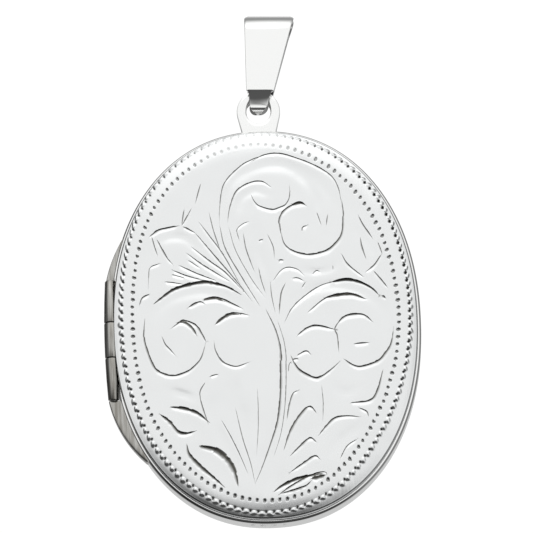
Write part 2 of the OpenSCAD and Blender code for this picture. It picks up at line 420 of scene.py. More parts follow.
def mesh_piece(name, points, faces, material, body, stands_for, origin=CASE, crease=30):
    """Makes a mesh object from points in mm, smooth apart from its creases, and puts it on a body."""
    mesh = bpy.data.meshes.new(name)
    place = (np.asarray(points, float) + np.array(origin)) * MM
    mesh.from_pydata(place.tolist(), [], [list(map(int, f)) for f in faces])
    mesh.validate()
    for polygon in mesh.polygons:
        polygon.use_smooth = True
    mesh.set_sharp_from_angle(angle=math.radians(crease))
    mesh.materials.append(material)
    piece = bpy.data.objects.new(name, mesh)
    bpy.context.scene.collection.objects.link(piece)
    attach(piece, body)
    if stands_for:
        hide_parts(*stands_for)
    return piece


def loft(rings, join_ends=False, closed_rings=True, caps=True):
    """Quads through rings of equal length; join_ends makes a band, else the ends may be capped."""
    n, m = len(rings[0]), len(rings)
    points = np.concatenate(rings)
    i = np.arange(n if closed_rings else n - 1)
    faces = []
    for k in range(m if join_ends else m - 1):
        a, b, j = k * n, (k + 1) % m * n, (i + 1) % n
        faces += np.stack([a + i, a + j, b + j, b + i], -1).tolist()
    if caps and not join_ends:
        faces += [list(range(n))[::-1], [(m - 1) * n + q for q in range(n)]]
    if caps and join_ends and not closed_rings:
        faces += [[k * n for k in range(m)], [k * n + n - 1 for k in range(m)][::-1]]
    return points, faces


def oval_ring(t, inset, y, shrink=1.0):
    """A ring of the case at depth y."""
    p = oval(t, np.full(len(t), float(inset))) * shrink
    return np.stack([p[:, 0], np.full(len(t), float(y)), p[:, 1]], -1)


def quarter(inset0, y0, inset1, y1, steps=5, round_first_y=True):
    """Rings' [inset, y] along a quarter round from one to the other."""
    out = []
    for k in range(steps + 1):
        a = math.pi / 2 * k / steps
        u, v = (1 - math.cos(a), math.sin(a)) if round_first_y else (math.sin(a), 1 - math.cos(a))
        out.append((inset0 + (inset1 - inset0) * u, y0 + (y1 - y0) * v))
    return out


def lathe(profile, centre, steps=72):
    """Turns a closed list of [radius, z] round the hinge axis."""
    a = around(steps)
    rings = [
        np.stack([centre + r * np.sin(a), r * np.cos(a), np.full(steps, float(z))], -1) for r, z in profile
    ]
    return loft(rings, join_ends=True)


def smooth_line(points, spacing):
    """A smooth curve through given points, as points about spacing apart, with its unit tangents."""
    p = np.array(points, float)
    if len(p) == 2:
        p = np.array([p[0], (p[0] + p[1]) / 2, p[1]])
    p = np.vstack([2 * p[0] - p[1], p, 2 * p[-1] - p[-2]])
    line = []
    for k in range(1, len(p) - 2):
        a, b, c, d = p[k - 1 : k + 3]
        steps = max(2, int(np.linalg.norm(c - b) / spacing))
        for u in np.arange(steps) / steps:
            bend, twist = 2 * a - 5 * b + 4 * c - d, 3 * b - 3 * c + d - a
            line.append(0.5 * (2 * b + (c - a) * u + bend * u**2 + twist * u**3))
    line.append(p[-2])
    line = np.array(line)
    along = np.gradient(line, axis=0)
    along /= np.maximum(np.linalg.norm(along, axis=1, keepdims=True), 1e-9)
    return line, along


def face_depth(x, z):
    """Depth of the front cover's plain face: crowned, then falling gently towards its edge."""
    s = ((np.abs(x) / HALF_W) ** OVAL_POWER + (np.abs(z) / HALF_H) ** OVAL_POWER) ** (1 / OVAL_POWER)
    crown = CROWN * np.clip(1 - (s / 0.88) ** 2, 0, 1) ** 1.25
    fall = 0.42 * np.clip((s - 0.86) / 0.13, 0, 1.2) ** 2
    return -COVER_D - crown + fall


def dents(x, z):
    """Slight unevenness of hand-finished sheet."""
    return 0.006 * (
        np.sin(1.3 * x + 0.7 * z) + np.sin(0.9 * z - 1.7 * x + 1.1) + 0.6 * np.sin(2.3 * z + 0.8 * x)
    )


# ---- The graver's cuts -----------------------------------------------------------------------------

# Each cut: its width, its lean, then points along it. It is widest before its middle. The lean's size, from
# 0 to 1, is how far the bottom of a bold cut lies towards its lower edge; its sign has no effect.
SCROLL_LEFT = [
    (0.46, 0.55, [
        (-10.9, 2.3), (-9.5, 3.3), (-8.8, 3.7), (-7.8, 4.0), (-6.0, 4.3), (-4.8, 4.1), (-3.6, 3.7),
        (-2.3, 2.9),
    ]),
    (0.3, -0.3, [
        (-11.8, 0.9), (-11.9, -0.2), (-11.9, -1.6), (-11.1, -4.0), (-10.1, -4.8), (-9.1, -5.0),
        (-8.2, -4.8), (-7.4, -4.4), (-6.5, -3.5), (-6.1, -2.5), (-5.9, -1.7),
    ]),
    (0.3, 0.3, [(-5.9, -1.7), (-6.3, -0.9), (-6.9, 0.0), (-8.0, 0.5), (-8.6, 0.2), (-9.2, -0.2)]),
    (0.2, 0.0, [(-10.2, -1.0), (-9.9, -1.8), (-9.4, -2.4), (-8.9, -3.0)]),
    (0.3, 0.4, [(-7.5, 1.8), (-6.4, 2.3), (-5.9, 2.1)]),
    (0.32, 0.4, [(-6.0, 2.6), (-4.9, 2.7), (-4.2, 2.5), (-3.4, 2.1), (-2.2, 1.5)]),
    (0.3, 0.4, [(-4.9, 0.0), (-4.2, 0.5), (-3.4, 1.0), (-2.5, 1.0), (-1.6, 0.8)]),
    (0.26, -0.3, [(-5.1, -1.7), (-5.0, -2.6), (-4.5, -3.6), (-3.8, -4.1), (-2.9, -4.3), (-1.7, -3.9)]),
]
SCROLL_RIGHT = [
    (0.2, 0.2, [(1.9, 0.0), (2.7, 1.4), (4.0, 2.6), (5.6, 3.6), (7.2, 4.0)]),
    (0.4, 0.55, [(6.6, 3.9), (8.1, 4.1), (9.4, 3.8), (10.5, 3.2), (11.2, 2.5)]),
    (0.26, 0.4, [(4.2, 0.9), (6.1, 2.3), (8.3, 2.6), (10.0, 2.1)]),
    (0.34, 0.45, [(7.1, -0.3), (7.6, 0.2), (8.3, 0.5), (9.6, 0.5), (10.5, -0.2)]),
    (0.24, 0.0, [(7.2, -0.1), (6.8, -0.9), (7.0, -1.6), (7.1, -3.2)]),
    (0.34, -0.4, [
        (7.6, -3.9), (8.4, -4.5), (9.3, -4.7), (10.9, -4.2), (11.7, -3.4), (12.3, -2.4),
        (12.6, -0.7),
    ]),
    (0.26, 0.3, [(8.6, -2.4), (10.1, -2.3)]),
    (0.32, 0.4, [(3.1, -1.4), (4.1, -0.7), (5.1, -0.5), (6.8, -0.9)]),
    (0.32, -0.4, [
        (2.4, -3.4), (2.7, -4.2), (3.3, -5.0), (4.6, -5.7), (5.3, -5.6), (6.2, -5.0), (7.1, -4.2),
    ]),
    (0.24, 0.3, [(3.0, -3.4), (3.9, -3.0), (4.4, -3.4)]),
    (0.3, 0.2, [(11.5, 2.4), (11.9, 2.1)]),
]
SCROLL_TOP = [
    (0.2, -0.2, [(0.5, 17.0), (-0.7, 16.6), (-2.0, 15.9), (-3.6, 14.2), (-4.1, 11.9), (-4.2, 10.1)]),
    (0.26, 0.3, [(1.0, 13.7), (0.1, 14.3), (-1.1, 14.2), (-2.4, 13.4), (-3.1, 11.8), (-3.4, 10.2)]),
    (0.26, -0.3, [
        (-1.0, 13.0), (-0.7, 12.3), (-0.2, 11.8), (1.0, 11.4), (1.8, 11.6), (2.4, 11.9),
        (2.8, 12.7), (2.8, 13.9),
    ]),
    (0.24, 0.35, [
        (-1.0, 16.3), (0.4, 17.0), (1.9, 17.1), (3.5, 16.6), (5.3, 15.8), (6.9, 14.7), (7.6, 13.4),
        (7.9, 11.6),
    ]),
    (0.32, -0.35, [
        (7.9, 12.2), (8.0, 10.4), (7.8, 8.7), (7.0, 7.6), (6.1, 7.0), (4.5, 6.7), (3.0, 7.1),
        (2.1, 7.9), (1.8, 9.2),
    ]),
    (0.3, 0.3, [(1.8, 8.9), (1.7, 10.2), (2.1, 11.1), (2.9, 11.7), (3.8, 12.0), (4.4, 11.7)]),
    (0.22, 0.2, [(3.9, 9.1), (4.0, 9.5), (4.4, 9.7)]),
    (0.16, 0.0, [(5.4, 11.0), (5.8, 9.7)]),
    (0.16, 0.0, [(6.5, 10.8), (6.3, 9.6)]),
    (0.2, 0.2, [(-5.9, 14.3), (-6.5, 12.3)]),
]
FAN = [
    (0.17, 0.2, [(-9.7, 4.5), (-8.0, 4.2)]),
    (0.22, 0.3, [(-8.9, 5.6), (-7.6, 5.0), (-6.0, 4.5)]),
    (0.14, 0.2, [(-9.0, 5.2), (-7.8, 4.8)]),
    (0.22, 0.3, [(-8.3, 6.1), (-6.6, 5.2), (-4.7, 4.4)]),
    (0.14, 0.2, [(-7.4, 6.6), (-6.2, 5.7)]),
    (0.22, 0.3, [(-7.5, 7.3), (-6.2, 6.2), (-4.9, 5.3), (-3.4, 4.3)]),
    (0.23, 0.3, [(-7.0, 7.9), (-5.3, 6.4), (-3.8, 5.2), (-2.1, 3.3)]),
    (0.23, 0.3, [(-6.6, 9.3), (-4.7, 6.8), (-2.9, 4.5), (-1.3, 2.3)]),
    (0.19, 0.3, [(-6.2, 10.4), (-5.2, 8.9), (-4.0, 7.1), (-2.3, 3.8)]),
    (0.17, 0.2, [(-5.2, 11.4), (-4.8, 9.4), (-4.1, 7.1)]),
    (0.2, 0.3, [(-4.2, 10.1), (-3.7, 7.6), (-2.1, 4.5), (-0.5, 1.7)]),
    (0.12, 0.0, [(-3.3, 9.8), (-2.7, 7.4), (-1.3, 4.6), (0.0, 2.6)]),
]
PETAL = [
    (0.32, 0.4, [(-11.1, 9.1), (-10.2, 9.7), (-9.3, 9.9), (-8.2, 10.1)]),
    (0.26, 0.3, [(-7.8, 10.0), (-6.6, 9.3)]),
    (0.2, 0.2, [(-7.6, 11.8), (-7.9, 10.1)]),
    (0.2, 0.2, [(-7.9, 10.1), (-7.4, 10.9), (-6.9, 11.8)]),
    (0.24, -0.3, [(-10.9, 9.1), (-10.7, 8.2), (-10.4, 7.2)]),
    (0.26, 0.3, [(-10.4, 8.8), (-9.9, 7.7), (-9.4, 6.8), (-8.9, 6.2)]),
    (0.14, 0.2, [(-10.1, 6.4), (-11.1, 6.0), (-11.3, 5.1), (-11.4, 3.7)]),
    (0.28, 0.3, [(-11.3, 3.3), (-12.0, 2.9), (-12.3, 2.2)]),
]
LEAF_RIGHT = [
    (0.26, 0.3, [(9.5, 10.5), (9.9, 9.6), (10.8, 8.2)]),
    (0.26, 0.3, [(9.6, 8.4), (9.7, 7.4), (10.1, 6.1)]),
    (0.22, 0.2, [(11.3, 7.8), (11.7, 6.6)]),
    (0.28, -0.3, [(11.6, 6.5), (10.9, 5.5), (10.0, 4.8)]),
    (0.26, 0.3, [(10.8, 4.9), (12.1, 3.2)]),
    (0.24, -0.2, [(7.7, 6.7), (8.3, 5.6), (9.8, 4.3)]),
]
STEM = [
    (0.3, -0.3, [
        (0.1, 1.3), (0.9, -0.6), (1.3, -2.2), (1.4, -3.8), (1.3, -7.0), (0.9, -9.9), (0.0, -12.5),
        (-0.8, -14.5), (-1.5, -16.0),
    ]),
    (0.16, 0.2, [(1.2, 0.2), (1.8, -2.2), (1.9, -4.6), (1.7, -8.0), (1.2, -11.0), (0.4, -13.4)]),
    (0.16, 0.1, [(-3.2, -8.5), (-2.6, -11.5), (-1.9, -14.0), (-1.5, -16.2)]),
    (0.14, 0.1, [(-1.0, -6.5), (-1.0, -10.0), (-1.3, -13.4)]),
]
LEAVES_LOW_RIGHT = [
    (0.28, 0.3, [(3.0, -6.9), (2.5, -7.2), (2.1, -8.3), (1.8, -9.8)]),
    (0.34, 0.4, [
        (4.7, -9.2), (4.3, -8.7), (3.9, -8.6), (3.2, -9.3), (2.6, -10.1), (2.0, -11.2),
        (1.4, -12.8),
    ]),
    (0.3, 0.4, [(4.6, -12.1), (4.0, -11.7), (3.1, -12.4), (2.0, -13.4)]),
    (0.3, 0.4, [(4.9, -13.8), (4.4, -13.5), (3.4, -14.1), (2.0, -15.0)]),
    (0.14, 0.0, [(5.3, -6.4), (5.4, -8.5), (5.3, -10.1)]),
    (0.3, 0.4, [(4.9, -11.4), (5.6, -10.6), (6.5, -9.8), (7.6, -9.6), (8.9, -9.7)]),
    (0.34, -0.4, [(8.1, -8.3), (10.0, -8.1), (10.8, -7.1), (11.4, -5.0)]),
    (0.26, 0.3, [(8.9, -8.8), (9.6, -9.2), (9.8, -9.7)]),
    (0.34, 0.4, [(0.8, -17.2), (2.2, -16.3), (4.0, -15.4), (5.3, -15.1), (5.6, -15.6)]),
    (0.2, 0.0, [(6.9, -13.8), (7.6, -12.6), (8.6, -11.9)]),
]
LEAVES_LOW_LEFT = [
    (0.42, 0.5, [(-9.6, -8.1), (-8.3, -8.3), (-7.2, -8.7), (-6.6, -9.1), (-5.8, -9.8)]),
    (0.22, 0.2, [(-6.7, -7.1), (-6.4, -8.4), (-5.9, -10.0)]),
    (0.42, 0.5, [(-10.6, -8.8), (-9.7, -9.6), (-8.9, -10.6), (-8.1, -10.8), (-7.2, -10.6)]),
    (0.46, 0.5, [(-8.1, -11.9), (-7.9, -12.9), (-6.8, -14.2), (-5.8, -15.1), (-4.5, -16.3)]),
    (0.7, 0.75, [(-6.8, -12.1), (-5.4, -12.5), (-4.3, -13.4), (-3.6, -14.6), (-3.2, -16.2)]),
    (0.22, 0.3, [(-5.6, -5.2), (-4.8, -5.0)]),
    (0.2, 0.0, [(-6.1, -5.8), (-6.6, -6.7), (-6.6, -7.8)]),
    (0.16, 0.0, [(-4.6, -9.6), (-3.7, -11.4), (-2.9, -13.2), (-2.2, -15.0)]),
]
VEINS = [
    (0.14, 0.2, [(-2.3, 8.4), (-2.5, 9.4), (-2.0, 10.0), (-1.3, 10.3)]),
    (0.18, 0.2, [(-1.9, 9.2), (-1.7, 7.6), (-1.2, 6.0), (-0.9, 5.2)]),
    (0.16, 0.2, [(0.5, 8.9), (1.0, 7.6), (1.1, 6.4)]),
    (0.16, 0.2, [(-0.5, 5.6), (-0.3, 4.4), (0.1, 3.0)]),
    (0.14, 0.2, [(0.6, 4.2), (0.7, 2.6), (1.0, 1.0)]),
    (0.14, 0.2, [(0.9, 4.2), (1.6, 5.1), (2.3, 5.5), (3.3, 5.3), (4.0, 4.6)]),
    (0.26, 0.2, [(2.1, 3.9), (1.7, 3.0), (1.5, 1.8), (1.4, 0.8)]),
    (0.16, 0.2, [(2.8, 4.4), (3.3, 4.4), (3.9, 4.1)]),
    (0.28, 0.2, [(1.5, 6.25), (2.0, 6.25)]),
    (0.16, 0.2, [(3.7, 3.4), (4.1, 4.0)]),
    (0.16, 0.2, [(-0.4, 8.3), (0.0, 8.45)]),
    (0.14, 0.2, [(4.8, 4.8), (5.2, 5.1), (5.5, 5.0)]),
    (0.14, 0.2, [(6.8, 5.6), (6.8, 5.1)]),
    (0.42, 0.55, [(5.9, 2.3), (7.2, 2.55), (8.6, 2.6), (9.9, 2.1)]),
    (0.4, 0.5, [(3.0, 11.8), (3.8, 12.0), (4.3, 11.8)]),
    (0.18, 0.2, [(2.1, -5.0), (2.2, -4.3), (2.4, -4.0)]),
    (0.2, 0.2, [(2.5, -3.8), (3.1, -3.7)]),
    (0.4, 0.55, [(0.3, -16.9), (1.2, -16.3), (2.6, -15.7), (4.0, -15.4), (5.2, -15.2)]),
    (0.34, 0.3, [(1.0, -17.1), (2.4, -16.8), (3.5, -16.4), (4.0, -15.9)]),
    (0.6, 0.5, [(4.0, -15.7), (4.7, -15.6), (5.4, -15.4)]),
    (0.42, 0.5, [(-6.8, -1.0), (-7.3, -0.2), (-8.0, 0.35), (-8.7, 0.3)]),
    (0.42, 0.5, [(-4.9, 0.0), (-4.2, 0.55), (-3.4, 0.95), (-2.5, 0.9)]),
    (0.42, 0.5, [(-6.0, 2.5), (-4.9, 2.65), (-4.0, 2.3)]),
]

CUTS = (
    SCROLL_LEFT + SCROLL_RIGHT + SCROLL_TOP + FAN + PETAL + LEAF_RIGHT + STEM
    + LEAVES_LOW_RIGHT + LEAVES_LOW_LEFT + VEINS
)


# Soft hollows pressed along the scrolls before they were cut: width, depth, then points along each
HOLLOWS = [
    (1.5, 0.06, [(-11.4, 0.3), (-10.4, 2.0), (-8.5, 3.0), (-6.0, 3.4), (-3.5, 2.7), (-1.6, 1.2)]),
    (1.3, 0.06, [(2.0, 0.9), (3.4, 2.4), (5.6, 3.4), (8.0, 3.4), (10.2, 2.5), (11.6, 0.8), (11.9, -1.2)]),
    (1.5, 0.06, [
        (-3.9, 10.0), (-3.7, 12.5), (-2.5, 14.7), (-0.4, 15.8), (2.2, 15.9), (4.8, 14.8),
        (6.7, 12.8), (7.1, 10.8), (6.5, 8.7),
    ]),
    (1.0, 0.05, [(-2.4, 11.2), (-2.0, 12.6), (-0.7, 13.4), (0.8, 12.9)]),
    (1.2, 0.05, [(3.2, 15.2), (4.6, 14.0), (5.4, 12.4), (5.4, 10.8)]),
    (1.3, 0.05, [(-1.8, 9.6), (-1.9, 7.6), (-1.2, 5.2), (0.0, 3.0), (0.9, 0.6)]),
    (1.2, 0.05, [(-0.6, 10.2), (-0.5, 7.6), (0.2, 5.2), (1.0, 3.4)]),
    (1.0, 0.05, [(3.4, 5.4), (4.8, 5.0), (6.4, 5.2), (7.4, 5.9)]),
    (1.5, 0.05, [(0.5, 0.8), (1.6, -2.5), (1.8, -6.0), (1.3, -10.0), (0.4, -13.0)]),
    (1.4, 0.05, [(-6.4, -6.2), (-5.7, -8.6), (-4.4, -11.8), (-2.6, -15.0)]),
    (1.3, 0.05, [(-2.9, -5.8), (-2.6, -8.6), (-2.2, -11.8), (-1.7, -14.8)]),
    (1.2, 0.04, [(6.3, -6.4), (7.6, -7.2), (9.2, -6.6)]),
    (1.3, 0.05, [(8.8, -10.6), (7.0, -12.0), (5.6, -13.8)]),
    (1.0, 0.04, [(9.2, 9.4), (10.4, 7.6), (10.8, 6.4)]),
    (1.1, 0.05, [(-10.2, 8.6), (-9.0, 9.0), (-7.6, 8.8), (-6.6, 7.8)]),
    (1.0, 0.05, [(-9.6, -6.4), (-8.2, -6.9), (-6.8, -7.4)]),
]


def hollow_depths(points):
    """How deep the soft hollows are at each point."""
    deep = np.zeros(len(points))
    for width, depth, stops in HOLLOWS:
        line, _ = smooth_line(stops, 0.2)
        near = np.flatnonzero(np.all((points > line.min(0) - width) & (points < line.max(0) + width), axis=1))
        gap = np.linalg.norm(points[near][:, None] - line[None], axis=-1)
        k = gap.argmin(1)
        ends = np.sin(math.pi * np.clip(k / (len(line) - 1), 0.02, 0.98)) ** 0.5
        deep[near] += depth * ends * np.exp(-((gap.min(1) / (width * 0.42)) ** 2))
    return deep


# From this width in mm on, a cut leans
BOLD_CUT = 0.38


def cut_lines(cuts):
    """Each cut as its line, left-hand normals, half widths, place of its bottom, and which side is upper."""
    made = []
    rng = random.Random(7)
    for width, lean, points in cuts:
        line, along = smooth_line(points, 0.1)
        left = np.stack([-along[:, 1], along[:, 0]], -1)
        u = np.linspace(0, 1, len(line))
        swell = np.minimum(1, (np.sin(math.pi * u**0.85) + 0.02) ** 0.6)
        # The graver chatters a little every 0.3 mm or so
        chatter = np.repeat([rng.uniform(0.78, 1.16) for _ in range(len(line) // 3 + 1)], 3)[: len(line)]
        half = (0.95 if width > 0.29 else 0.78) * width / 2 * np.clip(swell * chatter, 0.12, 1.1)
        # The bottom of a bold cut lies nearer its lower edge
        upper = np.sign(left[:, 1] + 1e-9)
        bottom = -left[:, 1] * (abs(lean) if width > BOLD_CUT else 0.0)
        made.append((line, left, half, bottom, upper))
    return made


# The width and the depth in mm of the bright bank below a cut, where the graver leaned
BANK = 0.26
BANK_DROP = 0.085


def cut_depths(points, lines, depth):
    """How deep the cuts go at each point, and how much painted shade each point gets, from 0 to 1."""
    deep, shade = np.zeros(len(points)), np.zeros(len(points))
    for line, left, half, bottom, upper in lines:
        reach = half.max() + BANK + 0.02
        near = np.flatnonzero(
            np.all((points > line.min(0) - reach) & (points < line.max(0) + reach), axis=1)
        )
        if not len(near):
            continue
        gap = points[near][:, None] - line[None]
        k = np.argmin((gap**2).sum(-1), axis=1)
        offset = gap[np.arange(len(near)), k]
        ends = np.abs((offset * np.stack([left[k, 1], -left[k, 0]], -1)).sum(-1)) < 0.12
        facing = np.abs(left[k, 1])
        # How far each point lies above the cut's bottom, towards the wall that faces down
        above = ((offset * left[k]).sum(-1) - bottom[k] * half[k]) * upper[k]
        wall = half[k] * (1 + np.abs(bottom[k]))
        bank = half[k] * (1 - np.abs(bottom[k])) + BANK * facing
        down = np.clip(1 - above / wall, 0, 1) * ends
        up = np.clip(1 + above / bank, 0, 1) * ends
        full = np.maximum(half[k] * depth, BANK_DROP * np.minimum(1, half[k] / (0.6 * half.max())) * facing)
        # The wall that faces down is hollow, steep at the cut's edge; the other is a flat bank
        part = np.where(above > 0, 1 - (1 - down) ** 2, up**1.2)
        deep[near] = np.maximum(deep[near], part * full)
        # Painted shade with a little tarnish: dark across the wall that faces down, fading out at its edge
        dark = np.where(above > -0.3 * half[k], np.minimum(6 * down * (1.1 - down), 1), 0)
        shade[near] = np.maximum(shade[near], dark * ends * (down > 0))
    return deep, shade


# ---- Millgrain rows --------------------------------------------------------------------------------


def hump(t, at, width):
    """1 at an angle in degrees, falling smoothly to 0 round it."""
    gap = (np.degrees(t) - at + 180) % 360 - 180
    return np.exp(-((gap / width) ** 2))


def row(t, a, b, out, upper_right):
    """A millgrain row: an ellipse rolled by hand, so a little out of true."""
    drift = out * (0.55 * hump(t, 315, 26) - 0.35 * hump(t, 130, 24) - 0.34 * hump(t, 270, 24))
    drift = drift + upper_right * hump(t, 50, 30)
    return np.stack([-0.13 + (a + drift) * np.sin(t), 0.12 + (b + drift) * np.cos(t)], -1)


def outer_row(t):
    return row(t, 14.38, 19.12, 1.0, 0.5)


def inner_row(t):
    return row(t, 13.2, 17.92, 0.9, 0.2)


def field_edge(t):
    return row(t, 12.8, 17.52, 0.9, 0.2)


def run_along(curve, count):
    """Angles that split a closed curve into count equal lengths."""
    t = around(7200, closed=False)
    p = curve(t)
    length = np.concatenate([[0], np.cumsum(np.linalg.norm(np.diff(p, axis=0), axis=1))])
    return np.interp(np.arange(count) * length[-1] / count, length, t), t, length


# ---- Pieces ----------------------------------------------------------------------------------------


class LOCKET_OT_millgrain_border(bpy.types.Operator):
    """The front cover's edge and border, with its row of beads and its row of punched dots"""

    bl_idname = "locket.millgrain_border"
    bl_label = "Millgrain border"

    def execute(self, context):
        case, finish = context.scene.locket_case, context.scene.locket_finish
        rng = random.Random(11)
        per_bead = 10
        count = case.bead_count * per_bead
        t, fine_t, _ = run_along(outer_row, count)
        c0, c1, c2, c3 = field_edge(t), inner_row(t), outer_row(t), oval(t, np.full(count, 0.2))
        gap = np.linalg.norm(c3 - c2, axis=1)
        inner_line = inner_row(fine_t)
        length = np.concatenate([[0], np.cumsum(np.linalg.norm(np.diff(inner_line, axis=0), axis=1))])
        dot_pitch = length[-1] / case.dot_count
        dot_place = np.interp(t, fine_t, length) / dot_pitch
        dot_index = np.round(dot_place).astype(int) % case.dot_count
        dot_along = (dot_place - np.round(dot_place)) * dot_pitch
        bead_pitch = np.linalg.norm(np.diff(outer_row(fine_t), axis=0), axis=1).sum() / case.bead_count
        bead_place = np.arange(count) / per_bead
        bead_index = np.round(bead_place).astype(int) % case.bead_count
        bead_along = (bead_place - np.round(bead_place)) * bead_pitch
        bead_size = np.array([rng.uniform(0.86, 1.1) for _ in range(case.bead_count)])[bead_index]
        bead_off = np.array([rng.uniform(-0.035, 0.035) for _ in range(case.bead_count)])[bead_index]
        dot_size = np.array([rng.uniform(0.8, 1.15) for _ in range(case.dot_count)])[dot_index]
        dot_off = np.array([rng.uniform(-0.04, 0.04) for _ in range(case.dot_count)])[dot_index]
        shades, rings = [], []
        # The beads are flatter at the top, and cut deeper at the upper right
        struck, bold = 1 - 0.7 * hump(t, 355, 26), hump(t, 62, 34)

        def face_ring(p, inner_e, outer_e):
            x, z = p[:, 0], p[:, 1]
            y = face_depth(x, z) + dents(x, z) * 0.5
            # A rolled channel with a bead standing in it at every pitch
            channel = 0.015 * np.clip(1 - np.abs(outer_e / 0.34), 0, 1)
            e, a = (outer_e + bead_off) / (0.27 * bead_size), bead_along / ((0.29 - 0.08 * bold) * bead_size)
            bead = np.clip(1 - e * e - a * a, 0, 1)
            # The wheel's teeth leave a wedge between beads, deeper on the row's inner side
            e, a = (outer_e + 0.14) / 0.2, (bead_pitch / 2 - np.abs(bead_along)) / (0.13 + 0.1 * bold)
            wedge = np.clip(1 - np.abs(e) - np.abs(a), 0, 1) * 0.1 * (1 + bold)
            y = y + struck * (channel + wedge - bead * (case.bead_height / MM + channel))
            # A punched cup at every pitch of the inner row
            e, a = (inner_e + dot_off) / (0.22 * dot_size), dot_along / (0.15 * dot_size)
            cup = np.clip(1 - e * e - a * a, 0, 1) ** 0.7
            y = y + struck * cup * case.dot_depth / MM
            # Painted shade in the punched cups and in the wedges between beads
            shades.append(struck * np.maximum(cup * 0.8, np.clip(wedge / 0.05, 0, 1) * (bead < 0.2)))
            rings.append(np.stack([x, y, z], -1))

        for k in range(8):
            u = k / 8
            face_ring(c0 * (1 - u) + c1 * u, -np.linalg.norm(c1 - c0, axis=1) * (1 - u), np.full(count, -1.0))
        for k in range(24):
            u = k / 24
            width = np.linalg.norm(c2 - c1, axis=1)
            face_ring(c1 * (1 - u) + c2 * u, width * u, -width * (1 - u))
        for k in range(12):
            u = (k / 11) ** 1.25
            face_ring(c2 * (1 - u) + c3 * u, np.full(count, 1.0), gap * u)
        edge_y = rings[-1][:, 1]
        for k in range(1, 11):
            a = math.pi / 2 * k / 10
            p = oval(t, np.full(count, 0.2 * (1 - math.sin(a))))
            y = edge_y + (-SEAM - 0.12 - edge_y) * (1 - math.cos(a))
            rings.append(np.stack([p[:, 0], y, p[:, 1]], -1))
            shades.append(np.zeros(count))
        for inset, y in [(0, -SEAM - 0.05), (0.05, -SEAM),
                         (WALL - 0.05, -SEAM), (WALL, -SEAM - 0.05), (WALL, -0.4), (WALL, COVER_FLOOR)]:
            rings.append(oval_ring(t, inset, y))
            shades.append(np.zeros(count))
        points, faces = loft(rings, caps=False)
        points = clear_of_hinge(points, own_is_middle=True)
        material = engraved_sterling_silver(finish, case)
        piece = mesh_piece("millgrain_border", points, faces, material, "front_case",
                           ["front_cover"], crease=40)
        shade = piece.data.attributes.new("cut_shade", "FLOAT", "POINT")
        shade.data.foreach_set("value", np.concatenate(shades).astype(np.float32))
        return {"FINISHED"}


class LOCKET_OT_engraved_field(bpy.types.Operator):
    """The front cover's field: crowned sheet with scrolls and leaves cut into it by a graver"""

    bl_idname = "locket.engraved_field"
    bl_label = "Engraved field"

    def execute(self, context):
        case, finish = context.scene.locket_case, context.scene.locket_finish
        rng = random.Random(5)
        lines = cut_lines(CUTS)
        points, edges = [], []

        def add_line(line, closed=False):
            start = len(points)
            points.extend(line.tolist())
            edges.extend((start + k, start + k + 1) for k in range(len(line) - 1))
            if closed:
                edges.append((start + len(line) - 1, start))

        rim = field_edge(run_along(field_edge, 420)[0])
        add_line(rim, closed=True)
        cut_points = []
        for line, left, half, bottom, upper in lines:
            for across in (-1.0, bottom, 1.0):
                side = line + left * (half * across)[:, None]
                add_line(side)
                cut_points.append(side)
            for share in (0.15, 0.35, 0.6):
                across = upper + (bottom - upper) * share
                points.extend((line + left * (half * across)[:, None]).tolist())
            for out in (0.5, 1.0):
                away = half + out * BANK * np.abs(left[:, 1])
                side = (line - left * (upper * away)[:, None])[:: 2]
                points.extend(side[away[:: 2] > half[:: 2] + 0.04].tolist())
                cut_points.append(side)
        near = np.concatenate(cut_points)
        cells = {}
        for p in near:
            cells.setdefault((int(p[0] // 0.25), int(p[1] // 0.25)), []).append(p)
        spacing = 0.24
        rows = int(18 / (spacing * 0.866)) + 1
        for j in range(-rows, rows + 1):
            for i in range(-60, 61):
                x = (i + (j % 2) / 2) * spacing + rng.uniform(-0.03, 0.03) - 0.13
                z = j * spacing * 0.866 + rng.uniform(-0.03, 0.03) + 0.12
                t = math.atan2((x + 0.13) / 12.8, (z - 0.12) / 17.52)
                edge = field_edge(np.array([t]))[0] - (-0.13, 0.12)
                if math.hypot(x + 0.13, z - 0.12) > math.hypot(*edge) - 0.14:
                    continue
                ci, cj = int(x // 0.25), int(z // 0.25)
                close = any(
                    (p[0] - x) ** 2 + (p[1] - z) ** 2 < 0.1**2
                    for a in (-1, 0, 1) for b in (-1, 0, 1) for p in cells.get((ci + a, cj + b), ())
                )
                if not close:
                    points.append((x, z))
        made = delaunay_2d_cdt([Vector(p) for p in points], edges, [list(range(420))], 1, 1e-5)
        flat = np.array([tuple(v) for v in made[0]])
        deep, shade = cut_depths(flat, lines, case.cut_depth)
        rim_gap = np.linalg.norm(flat[:, None, :] - rim[None, ::3, :], axis=-1).min(1)
        deep = deep * np.clip(rim_gap / 0.3, 0, 1)
        deep_soft = 1.6 * hollow_depths(flat) * np.clip(rim_gap / 0.6, 0, 1)
        face, dent = face_depth(flat[:, 0], flat[:, 1]), dents(flat[:, 0], flat[:, 1])
        y = face + dent + deep + deep_soft
        y = np.where(rim_gap < 0.02, face + dent * 0.5, y)
        solid = np.stack([flat[:, 0], y, flat[:, 1]], -1)
        material = engraved_sterling_silver(finish, case)
        piece = mesh_piece("engraved_field", solid, made[2], material, "front_case",
                           [], crease=14)
        # The painted shade in the cuts, kept where they are deep enough, for the material to mix in
        held = piece.data.attributes.new("cut_shade", "FLOAT", "POINT")
        if len(piece.data.vertices) != len(flat):
            raise RuntimeError("the engraved field lost points")
        held.data.foreach_set("value", (shade * np.clip(deep / 0.012, 0, 1)).astype(np.float32))
        return {"FINISHED"}


